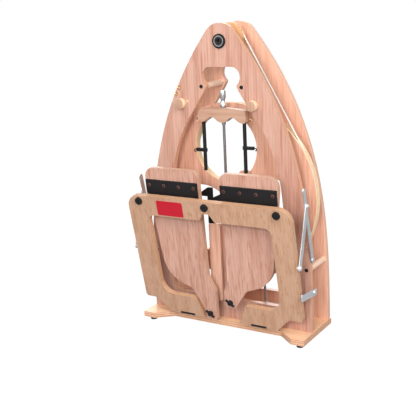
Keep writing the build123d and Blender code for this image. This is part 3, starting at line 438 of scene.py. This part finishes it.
zinc = metal_finish("zinc_plate", (0.90, 0.94, 0.97), smooth=0.34, rough=0.5, stretch=LINES_UP)
steel = metal_finish("bright_steel", (0.62, 0.62, 0.62), smooth=0.22, rough=0.38, stretch=LINES_ALONG_DEPTH)
shaft_steel = metal_finish("flyer_steel", (0.36, 0.34, 0.34), smooth=0.25, rough=0.4, stretch=LINES_UP)
chrome = metal_finish("orifice_chrome", (0.66, 0.67, 0.69), smooth=0.24, rough=0.3, stretch=FAINT_LINES)
brass = metal_finish("brass_wire", (0.80, 0.56, 0.24), smooth=0.2, rough=0.35, stretch=NO_LINES)
print("materials so far:", len(bpy.data.materials))

# %% [markdown]
# ## Black polymer, rubber and leather
# The hinge strips, rod joints, bearings and wing knobs are moulded black polymer with a fine matt
# grain. The feet are softer rubber, and the toe straps are black leather with a coarser grain. The
# three differ in the size of the grain, its depth and the gloss. The drive band is a pale twisted cord,
# which needs a soft, fibrous look. The same function also serves the blackened screws, the bronze ones
# and the plate.


# %% Moulded and soft finishes
def moulded_finish(name, dark, light, fine_scale, smooth, rough, bump_strength):
    """An even colour with cloudy gloss and a fine grain in relief."""
    material, tree, shader = start_material(name)
    coordinates = add_node(tree, "ShaderNodeTexCoord")
    handled = place_group(tree, worn_group, {"Fine Scale": fine_scale, "Smooth": smooth, "Rough": rough})
    bump = add_node(tree, "ShaderNodeBump", {"Strength": bump_strength, "Distance": 0.0004})
    dusty = add_node(tree, "ShaderNodeMix", data_type="RGBA")
    join = tree.links.new
    join(coordinates.outputs["Object"], handled.inputs["Vector"])
    join(handled.outputs["Roughness"], shader.inputs["Roughness"])
    join(handled.outputs["Height"], bump.inputs["Height"])
    join(bump.outputs["Normal"], shader.inputs["Normal"])
    join(handled.outputs["Cloud"], dusty.inputs["Factor"])
    dusty.inputs["A"].default_value = (*dark, 1)
    dusty.inputs["B"].default_value = (*light, 1)
    join(dusty.outputs["Result"], shader.inputs["Base Color"])
    shader.inputs["Specular IOR Level"].default_value = 0.2
    return material


polymer = moulded_finish(
    "black_polymer", (0.006, 0.006, 0.007), (0.014, 0.013, 0.014),
    fine_scale=1800, smooth=0.45, rough=0.6, bump_strength=0.1,
)
rubber = moulded_finish(
    "black_rubber", (0.007, 0.007, 0.007), (0.015, 0.015, 0.014),
    fine_scale=1100, smooth=0.65, rough=0.85, bump_strength=0.2,
)
leather = moulded_finish(
    "black_leather", (0.02, 0.017, 0.015), (0.045, 0.038, 0.033),
    fine_scale=520, smooth=0.5, rough=0.7, bump_strength=0.45,
)
black_steel = moulded_finish(
    "blackened_steel", (0.008, 0.008, 0.009), (0.018, 0.018, 0.019),
    fine_scale=1400, smooth=0.35, rough=0.5, bump_strength=0.05,
)
band_cord = moulded_finish(
    "band_cord", (0.86, 0.84, 0.80), (0.95, 0.94, 0.91),
    fine_scale=1500, smooth=0.75, rough=0.95, bump_strength=0.6,
)
red_plate = moulded_finish(
    "red_plate", (0.46, 0.010, 0.024), (0.54, 0.014, 0.030),
    fine_scale=600, smooth=0.35, rough=0.5, bump_strength=0.05,
)
bronze = moulded_finish(
    "dark_bronze", (0.07, 0.030, 0.024), (0.14, 0.060, 0.046),
    fine_scale=900, smooth=0.35, rough=0.5, bump_strength=0.1,
)
plug_wood = wood_finish("plug_wood", (0.86, 0.62, 0.36), (0.62, 0.38, 0.18), GRAIN_ALONG_DEPTH)
print("materials so far:", len(bpy.data.materials))

# %% [markdown]
# ## Dressing the CAD nodes
# Every node that keeps its CAD shape gets one of the finishes. Board edges on the real piece are eased
# by sanding, and a knife-sharp edge would catch no light, so the wooden nodes also get a Weld and a
# small Bevel modifier. The mesh itself stays untouched.

# %% Give each node its finish
FINISH = {
    panel_wood: ["front_panel"],
    back_wood_painted_fill: ["back_panel"],
    wheel_wood_painted_fill: ["wheel_disc"],
    treadle_wood: ["treadle_left", "treadle_right"],
    frame_ply: ["treadle_frame_board", "hinge_batten"],
    base_ply: ["base_board"],
    dowel_wood: ["upper_spacer_dowels", "lower_spacer_dowels"],
    whorl_wood: ["whorl"],
    knob_wood_painted_highlight: ["brake_knob", "clamp_knob"],
    rod_wood: ["connecting_rod_left", "connecting_rod_right"],
    yoke_wood: ["flyer_yoke"],
    polymer: [
        "rod_joint_left", "rod_joint_right", "treadle_strip_left", "treadle_strip_right",
        "treadle_strip_lower_leaves", "front_apex_bearing", "back_apex_bearing", "flyer_arms",
        "sliding_hook_left", "sliding_hook_right", "wing_knob_left", "wing_knob_right", "hub_flanges",
        "front_axle_bushing", "back_axle_bushing",
    ],
    rubber: ["base_feet", "treadle_frame_feet"],
    black_steel: [
        "panel_screws", "fold_hinge_base_leaves", "fold_hinge_frame_leaves", "strip_screws_left",
        "strip_screws_right", "double_crank", "crank_washer",
    ],
    zinc: [
        "stay_rear_left", "stay_rear_right", "stay_front_left", "stay_front_right", "fold_latch",
        "panel_studs", "frame_studs",
    ],
    steel: ["axle", "axle_spacers", "whorl_shaft", "fold_hinge_pins"],
    shaft_steel: ["flyer_shaft", "bobbin_rods"],
    chrome: ["orifice_tube"],
    brass: ["guide_eyes", "yoke_end_hooks"],
    band_cord: ["drive_band"],
    leather: ["toe_strap_left", "toe_strap_right"],
}
for material, names in FINISH.items():
    for name in names:
        nodes[name].data.materials.clear()
        nodes[name].data.materials.append(material)
print("nodes left bare:", sorted(set(nodes) - {name for names in FINISH.values() for name in names}))

EASED = {
    2.4: ["treadle_left", "treadle_right", "treadle_frame_board"],
    1.6: ["front_panel", "back_panel"],
    1.2: ["wheel_disc"],
    1.0: ["base_board", "flyer_yoke", "connecting_rod_left", "connecting_rod_right", "hinge_batten"],
}
WELD_DISTANCE = 0.01 * MM
EASE_SEGMENTS = 3
EASE_ANGLE = math.radians(40)
for width, names in EASED.items():
    for name in names:
        weld = nodes[name].modifiers.new("weld", "WELD")
        weld.merge_threshold = WELD_DISTANCE
        eased = nodes[name].modifiers.new("eased_edge", "BEVEL")
        eased.width = width * MM
        eased.segments = EASE_SEGMENTS
        eased.limit_method = "ANGLE"
        eased.angle_limit = EASE_ANGLE
        eased.profile = 0.5
print("eased boards:", sum(len(names) for names in EASED.values()))

# %% [markdown]
# ## Making new pieces
# Turned and moulded details are built with bmesh: a profile is spun about an axis for knobs and screw
# heads, and flat pieces are boxes with bevelled edges. Each finished piece keeps its place in its mesh,
# is shaded smooth except at its sharp edges, and rides on the body that carries it.


# %% Piece helpers
MERGE_DISTANCE = 0.005 * MM


def finish_piece(name, bm, material, body, replaced=(), sharp=35):
    """Turn a bmesh into an object that rides on a body."""
    bmesh.ops.remove_doubles(bm, verts=bm.verts, dist=MERGE_DISTANCE)
    bmesh.ops.recalc_face_normals(bm, faces=bm.faces)
    for face in bm.faces:
        face.smooth = True
    for edge in bm.edges:
        edge.smooth = edge.is_manifold and edge.calc_face_angle(0) < math.radians(sharp)
    mesh = bpy.data.meshes.new(name)
    bm.to_mesh(mesh)
    bm.free()
    mesh.materials.append(material)
    piece = bpy.data.objects.new(name, mesh)
    bpy.context.collection.objects.link(piece)
    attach(piece, body)
    if replaced:
        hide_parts(*replaced)
    print(name, "faces:", len(mesh.polygons))


def spin_profile(bm, profile, centre, direction, steps=32):
    """Spin (radius, along) points about an axis, in metres. Points on the axis close the shape."""
    direction = Vector(direction).normalized()
    across = direction.orthogonal().normalized()
    corners = [bm.verts.new(Vector(centre) + across * r + direction * a) for r, a in profile]
    edges = [bm.edges.new(pair) for pair in zip(corners, corners[1:])]
    bmesh.ops.spin(
        bm, geom=corners + edges, cent=centre, axis=direction, angle=2 * math.pi, steps=steps, use_merge=True
    )


def scaled(profile):
    """Millimetres to metres."""
    return [(r * MM, a * MM) for r, a in profile]


# %% [markdown]
# ## Screw heads
# The panels are drawn against their spacers by black button-head screws, and the treadle strips carry
# flatter ones of dark bronze. A button head is a dome with a socket in its middle. Spinning one profile
# gives the dome and the round chamfer of the socket, and a six-sided cone cut short makes the socket's
# floor. On the strips a small black disc is set in each socket as painted shade.

# %% Button-head screws
DOME = [
    (0.0, -0.2), (0.42, -0.2), (0.46, 0.55), (0.55, 0.78), (0.8, 0.6), (0.97, 0.25), (1.0, 0.0),
    (0.6, -0.1), (0.0, -0.1),
]
SOCKET_SHARE = 0.36
SOCKET_LIFT = 0.2
SOCKET_FLOOR = 0.12
PANEL_SCREW = (4.2, 1.9)
STRIP_SCREW = (4.2, 1.4)
STRIP_SCREWS = 4
STRIP_SHANK = 3.2 * MM
STRIP_DROP = 0.4 * MM
# Black disc for each strip screw's socket: painted shade in the recess.
SHADE_DISC = [(0, 0.4), (2.1, 0.4), (2.3, 0.2), (2.3, -0.4), (0, -0.4)]
SHADE_DISC_PROUD = 0.6 * MM


def add_screw(bm, centre, outward, radius, height):
    """One button head, whose dome points outwards."""
    profile = [(r * radius * MM, a * height * MM) for r, a in DOME]
    spin_profile(bm, profile, centre, outward, steps=24)
    turn = Vector((0, 0, 1)).rotation_difference(Vector(outward)).to_matrix().to_4x4()
    place = Matrix.Translation(Vector(centre) + Vector(outward) * SOCKET_LIFT * height * MM) @ turn
    bmesh.ops.create_cone(
        bm, cap_ends=True, segments=6, radius1=radius * SOCKET_SHARE * MM,
        radius2=radius * SOCKET_SHARE * MM, depth=SOCKET_FLOOR * height * MM, matrix=place,
    )


panel_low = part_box("front_panel")[0]
back_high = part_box("back_panel")[1]
DOWEL_RADIUS = 7.0 * MM
screw_bm = bmesh.new()
for name in ("upper_spacer_dowels", "lower_spacer_dowels"):
    low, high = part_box(name)
    for x in (low.x + DOWEL_RADIUS, high.x - DOWEL_RADIUS):
        height = (low.z + high.z) / 2
        add_screw(screw_bm, (x, panel_low.y, height), (0, -1, 0), *PANEL_SCREW)
        add_screw(screw_bm, (x, back_high.y, height), (0, 1, 0), *PANEL_SCREW)
finish_piece("panel_screw_heads", screw_bm, black_steel, "body", ["panel_screws"])

for side in ("left", "right"):
    strip_low, strip_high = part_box(f"strip_screws_{side}")
    pitch = (strip_high.x - strip_low.x - 2 * STRIP_SHANK) / (STRIP_SCREWS - 1)
    head_y = strip_low.y + STRIP_SCREW[1] * MM
    head_z = (strip_low.z + strip_high.z) / 2 - STRIP_DROP
    strip_bm = bmesh.new()
    socket_shade_bm = bmesh.new()
    for index in range(STRIP_SCREWS):
        head = Vector((strip_low.x + STRIP_SHANK + index * pitch, head_y, head_z))
        add_screw(strip_bm, head, -TREADLE_FACING, *STRIP_SCREW)
        # A black disc in the socket: painted shade in the recess.
        shade_disc_centre = head - TREADLE_FACING * SHADE_DISC_PROUD
        spin_profile(socket_shade_bm, scaled(SHADE_DISC), shade_disc_centre, -TREADLE_FACING, steps=24)
    body = f"treadle_{side}"
    finish_piece(
        f"strip_screw_heads_{side}", strip_bm, bronze, body, [f"strip_screws_{side}"]
    )
    finish_piece(f"strip_screw_socket_shade_{side}", socket_shade_bm, black_steel, body)

# %% [markdown]
# ## Turned knobs
# Two wooden knobs stand on the front panel. Each is a short turned drum with a flat face and a small
# round-over. The profile is spun about the depth axis, with its shank left in the panel's hole.

# %% Knobs
KNOB = [
    (0, -13.5), (10.0, -13.5), (11.0, -13.1), (11.5, -12.2), (11.5, -1.6), (11.2, -0.8), (10.5, -0.5),
    (4.0, -0.5), (4.0, 14.0), (0, 14.0),
]
for name in ("brake_knob", "clamp_knob"):
    low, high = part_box(name)
    centre = ((low.x + high.x) / 2, panel_low.y, (low.z + high.z) / 2)
    knob_bm = bmesh.new()
    spin_profile(knob_bm, scaled(KNOB), centre, (0, 1, 0), steps=40)
    finish_piece(f"turned_{name}", knob_bm, knob_wood_painted_highlight, name, [name])

# %% [markdown]
# ## Orifice tube
# Yarn enters the flyer through this chromed tube. It has a thick head with rounded lips, a waist, a
# collar and a bore. The whole section, outside and inside, is one profile that is spun about the
# upright axis.

# %% Orifice
tube_low, tube_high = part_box("orifice_tube")
tube_centre = ((tube_low.x + tube_high.x) / 2, (tube_low.y + tube_high.y) / 2, tube_low.z)
TUBE = [
    (0, 0), (4.4, 0), (4.4, 22.0), (6.1, 22.0), (6.4, 22.6), (6.4, 30.0), (5.8, 31.2), (4.7, 33.0),
    (4.4, 35.5), (4.4, 38.5), (5.0, 40.6), (6.1, 42.0), (6.4, 43.4), (6.4, 57.4), (6.0, 58.6),
    (5.0, 59.0), (3.8, 58.6), (3.0, 57.6), (3.0, 6.0), (0, 6.0),
]
tube_bm = bmesh.new()
spin_profile(tube_bm, scaled(TUBE), tube_centre, (0, 0, 1), steps=32)
finish_piece("orifice_turned", tube_bm, chrome, "flyer", ["orifice_tube"])

# %% [markdown]
# ## Wing knobs on the treadle toes
# A black wing knob clamps the strap to each toe. It has a round hub and two flat wings with rounded
# ends. The hub is spun, the wings are a bevelled bar through it, and the whole knob is set on the
# treadle's slope.


# %% Wing knobs
WING_REACH = 0.85 * MM
WING_DEPTH = 8.6 * MM
WING_SET = 0.6 * MM
WING_TURN = math.radians(35)
WING_BAR = (24 * MM, 6 * MM, 4 * MM, 1)
WING_ROUND = 1.7 * MM
HUB = [(0, 0.2), (3.0, 0.2), (4.6, 0.8), (5.2, 2.0), (5.6, 4.0), (6.0, 7.8), (5.6, 8.4), (0, 8.4)]
BOLT = [(0, 8.2), (2.5, 8.2), (2.5, 23.2), (2.0, 23.8), (0, 23.8)]
joints = {joint["name"]: joint for joint in frame["joints"]}


def wing_knob(side):
    """The hub, bolt and wings of one knob, on the axis of its joint."""
    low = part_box(f"wing_knob_{side}")[0]
    axle = Vector(joints[f"wing_{side}_turn"]["pos_m"])
    front = axle + TREADLE_FACING * (low.y + WING_REACH - axle.y) / TREADLE_FACING.y
    bm = bmesh.new()
    spin_profile(bm, scaled(HUB), front, TREADLE_FACING, steps=28)
    spin_profile(bm, scaled(BOLT), front, TREADLE_FACING, steps=20)
    turn = Matrix.Rotation(TREADLE_LEAN, 4, "X") @ Matrix.Rotation(WING_TURN, 4, "Y")
    place = Matrix.Translation(front + TREADLE_FACING * (WING_DEPTH / 2 - WING_SET)) @ turn
    bar = bmesh.ops.create_cube(bm, size=1.0, matrix=place @ Matrix.Diagonal(WING_BAR))
    edges = {edge for vert in bar["verts"] for edge in vert.link_edges}
    bmesh.ops.bevel(
        bm, geom=list(edges), offset=WING_ROUND, affect="EDGES", segments=3, profile=0.5, material=-1
    )
    return bm


for side in ("left", "right"):
    name = f"wing_knob_{side}"
    finish_piece(f"moulded_{name}", wing_knob(side), polymer, name, [name])

# %% [markdown]
# ## Bearing insert at the apex
# The front bearing shows a bright ring on its black flange, round a dark socket. The flange is CAD. The
# ring is pressed into the flange, and a black sleeve sits on the whorl shaft's front end, so it turns
# with the whorl.

# %% Apex ring and sleeve
flange_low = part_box("front_apex_bearing")[0]
shaft_low, shaft_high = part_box("whorl_shaft")
apex_z = (shaft_low.z + shaft_high.z) / 2
RING = [(9.4, 0.2), (9.5, -0.6), (10.4, -0.8), (11.3, -0.6), (11.4, 0.2), (9.4, 0.2)]
SLEEVE = [(4.0, 0.4), (4.1, -0.5), (7.3, -0.6), (7.7, -0.3), (7.7, 0.4), (4.0, 0.4)]
for name, profile, depth_y, finish, body, slot in (
    ("apex_ring", RING, flange_low.y, steel, "body", "steel"),
    ("apex_sleeve", SLEEVE, shaft_low.y, polymer, "whorl", "black_polymer"),
):
    ring_bm = bmesh.new()
    spin_profile(ring_bm, scaled(profile), (0, depth_y, apex_z), (0, 1, 0), steps=36)
    finish_piece(name, ring_bm, finish, body)

# %% [markdown]
# ## A plain plate and a plug
# A small plain red plate is fixed to the treadle frame's crossbar, and a pale plug fills a hole near
# the left knob. The plate is a thin box with rounded corners, set on the slope of the frame, and the
# plug is a low spun dome.

# %% Plate and plug
fold_axis = Vector(joints["treadle_frame_fold"]["pos_m"])
lean = Matrix.Rotation(FRAME_LEAN, 4, "X")
PLATE_SIZE = (66, 0.8, 34)
PLATE_MIDDLE = (-89.5, -20.4, 271.5)
PLATE_ROUND = 3 * MM
NEARLY_ALONG = 0.9
plate_bm = bmesh.new()
plate_place = Matrix.Translation(fold_axis) @ lean @ Matrix.Translation(Vector(PLATE_MIDDLE) * MM)
plate_size = Matrix.Diagonal((*[length * MM for length in PLATE_SIZE], 1))
bmesh.ops.create_cube(plate_bm, size=1.0, matrix=plate_place @ plate_size)
depth_edges = []
for edge in plate_bm.edges:
    along = (edge.verts[0].co - edge.verts[1].co).normalized()
    if abs(along.dot(FRAME_FACING)) > NEARLY_ALONG:
        depth_edges.append(edge)
bmesh.ops.bevel(
    plate_bm, geom=depth_edges, offset=PLATE_ROUND, affect="EDGES", segments=5, profile=0.5, material=-1
)
finish_piece("plain_plate", plate_bm, red_plate, "treadle_frame")

PLUG = [(0, -0.5), (2.4, -0.45), (3.0, 0.0), (2.6, 0.2), (0, 0.2)]
PLUG_X = -85.5 * MM
PLUG_Z = 508 * MM
plug_bm = bmesh.new()
spin_profile(plug_bm, scaled(PLUG), (PLUG_X, panel_low.y, PLUG_Z), (0, 1, 0), steps=24)
finish_piece("pale_plug", plug_bm, plug_wood, "body")

# %% [markdown]
# ## Rubber feet of the treadle frame
# Unfolded, the frame rests on three round rubber feet. Each is a short drum with a rounded rim and a
# dimple where its screw goes in, so one profile is spun three times on the slope of the frame's front
# face.

# %% Frame feet
FOOT = [(0, 2.8), (1.8, 2.8), (2.6, 4.5), (6.6, 5.0), (7.9, 4.4), (8.5, 3.0), (8.5, 0.0), (0, 0.0)]
FOOT_PLACES = [(-168, -20, 283.5), (0, -20, 283.5), (168, -20, 283.5)]
feet_bm = bmesh.new()
for place in FOOT_PLACES:
    centre = fold_axis + lean @ (Vector(place) * MM)
    spin_profile(feet_bm, scaled(FOOT), centre, -FRAME_FACING, steps=32)
finish_piece("moulded_frame_feet", feet_bm, rubber, "treadle_frame", ["treadle_frame_feet"])

# %% [markdown]
# ## Rivets and hinge screws
# The stays are riveted at their ends and knees, and the fold hinges are screwed to the base. A low dome
# is spun for each rivet, and small button heads hold the hinge leaves.

# %% Rivets
FRAME_PIN = (-82.61 * MM, 184.11 * MM)
RIVET = [(0, 1.4), (2.2, 1.25), (3.8, 0.7), (4.6, 0.0), (4.2, -0.1), (0, -0.1)]
for side, sign in (("left", -1), ("right", 1)):
    outward = Vector((sign, 0, 0))
    knee = joints[f"stay_front_{side}_swing"]["pos_m"]
    rear_low, rear_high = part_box(f"stay_rear_{side}")
    knee_x = rear_low.x if sign < 0 else rear_high.x
    knee_bm = bmesh.new()
    spin_profile(knee_bm, scaled(RIVET), (knee_x, knee[1], knee[2]), outward, steps=24)
    finish_piece(f"knee_rivet_{side}", knee_bm, zinc, f"stay_rear_{side}")
    front_low, front_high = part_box(f"stay_front_{side}")
    end_x = front_low.x if sign < 0 else front_high.x
    end_bm = bmesh.new()
    spin_profile(end_bm, scaled(RIVET), (end_x, *FRAME_PIN), outward, steps=24)
    finish_piece(f"frame_rivet_{side}", end_bm, zinc, f"stay_front_{side}")

LEAF_SCREW = (2.2, 0.9)
LEAF_SCREW_PLACES = [-106, -91, -76, 76, 91, 106]
LEAF_SCREW_Y = -28.5 * MM
LEAF_THICKNESS = 2.0 * MM
base_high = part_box("base_board")[1]
leaf_bm = bmesh.new()
for x in LEAF_SCREW_PLACES:
    top = (x * MM, LEAF_SCREW_Y, base_high.z + LEAF_THICKNESS)
    add_screw(leaf_bm, top, (0, 0, 1), *LEAF_SCREW)
finish_piece("hinge_leaf_screws", leaf_bm, black_steel, "body")

# %% [markdown]
# ## Floor, light and camera
# The photograph shows the piece cut out on white, under broad soft light. A pale floor takes a faint
# shadow, and a Light Path node lifts it and the world to white for the camera only. One large lamp from
# the upper left models the boards, a wide one fills the right side, a third stands in front, and a
# fourth shows the back when the piece is turned round. The camera's place, lens and small roll were
# worked out from the panels, the wheel and the base, in the frame of the CAD model.

# %% Floor
FLOOR_SIZE = 8.0
FLOOR_GREY = (0.45, 0.45, 0.45, 1)
WHITE = (1, 1, 1, 1)
GLOW = 1.08
GLOW_SHARE = 0.92
floor_mesh = bpy.data.meshes.new("floor")
floor_bm = bmesh.new()
bmesh.ops.create_grid(floor_bm, x_segments=1, y_segments=1, size=FLOOR_SIZE)
floor_bm.to_mesh(floor_mesh)
floor_bm.free()
floor = bpy.data.objects.new("floor", floor_mesh)
bpy.context.collection.objects.link(floor)
floor_paint, tree, shader = start_material("floor_paint")
shader.inputs["Base Color"].default_value = FLOOR_GREY
shader.inputs["Roughness"].default_value = 0.9
shader.inputs["Specular IOR Level"].default_value = 0.0
glow = add_node(tree, "ShaderNodeEmission", {"Color": WHITE, "Strength": GLOW})
rays = add_node(tree, "ShaderNodeLightPath")
share = add_node(tree, "ShaderNodeMath", {1: GLOW_SHARE}, operation="MULTIPLY")
mix = add_node(tree, "ShaderNodeMixShader")
tree.links.new(rays.outputs["Is Camera Ray"], share.inputs[0])
tree.links.new(share.outputs[0], mix.inputs["Fac"])
tree.links.new(shader.outputs["BSDF"], mix.inputs[1])
tree.links.new(glow.outputs["Emission"], mix.inputs[2])
tree.links.new(mix.outputs["Shader"], tree.nodes["Material Output"].inputs["Surface"])
floor_mesh.materials.append(floor_paint)
floor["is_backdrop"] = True
print("floor faces:", len(floor_mesh.polygons))

# %% World
DIM_SKY = 0.22
world = bpy.data.worlds.new("studio")
bpy.context.scene.world = world
world.use_nodes = True
sky = world.node_tree
background = sky.nodes["Background"]
background.inputs["Color"].default_value = WHITE
seen = add_node(sky, "ShaderNodeLightPath")
either = add_node(sky, "ShaderNodeMath", operation="MAXIMUM")
either_glass = add_node(sky, "ShaderNodeMath", operation="MAXIMUM")
level = add_node(sky, "ShaderNodeMapRange", {"To Min": DIM_SKY, "To Max": 1.0})
sky.links.new(seen.outputs["Is Camera Ray"], either.inputs[0])
sky.links.new(seen.outputs["Is Glossy Ray"], either.inputs[1])
sky.links.new(either.outputs[0], either_glass.inputs[0])
sky.links.new(seen.outputs["Is Transmission Ray"], either_glass.inputs[1])
sky.links.new(either_glass.outputs[0], level.inputs["Value"])
sky.links.new(level.outputs["Result"], background.inputs["Strength"])
print("world:", world.name)


# %% Lamps
def soft_lamp(name, place, target, size, watts):
    """A square lamp at a place, turned to its target."""
    lamp = bpy.data.lights.new(name, "AREA")
    lamp.size = size
    lamp.energy = watts
    holder = bpy.data.objects.new(name, lamp)
    bpy.context.collection.objects.link(holder)
    holder.location = place
    holder.rotation_euler = (Vector(target) - Vector(place)).to_track_quat("-Z", "Y").to_euler()


soft_lamp("key_lamp", (-0.9, -1.5, 2.5), (0, 0, 0.3), size=1.4, watts=30)
soft_lamp("fill_lamp", (2.3, -1.5, 1.7), (0, 0, 0.2), size=1.6, watts=62)
soft_lamp("front_lamp", (0.6, -2.3, 1.2), (0, 0, 0.25), size=0.9, watts=35)
soft_lamp("back_lamp", (-1.2, 2.6, 1.2), (0, 0, 0.3), size=1.8, watts=40)
print("lamps:", len(bpy.data.lights))

# %% Camera
CAMERA_PLACE = Vector((0.903, -1.544, 0.736))
YAW, PITCH, ROLL = 0.558, 0.253, -0.046
SENSOR_WIDTH = 36.0
LENS = 72.5
ahead = Vector((-math.sin(YAW) * math.cos(PITCH), math.cos(YAW) * math.cos(PITCH), -math.sin(PITCH)))
right = ahead.cross(Vector((0, 0, 1))).normalized()
up = right.cross(ahead)
rolled_right = math.cos(ROLL) * right + math.sin(ROLL) * up
rolled_up = -math.sin(ROLL) * right + math.cos(ROLL) * up
camera_data = bpy.data.cameras.new("camera")
camera_data.sensor_width = SENSOR_WIDTH
camera_data.lens = LENS
camera = bpy.data.objects.new("camera", camera_data)
bpy.context.collection.objects.link(camera)
turned = Matrix((rolled_right, rolled_up, -ahead)).transposed().to_4x4()
camera.matrix_world = Matrix.Translation(CAMERA_PLACE) @ turned
bpy.context.scene.camera = camera
bpy.context.scene.view_settings.view_transform = "Standard"
print("camera at", tuple(CAMERA_PLACE))

# %% Finish
low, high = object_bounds()
print("visual box", [round(v, 4) for v in high - low])
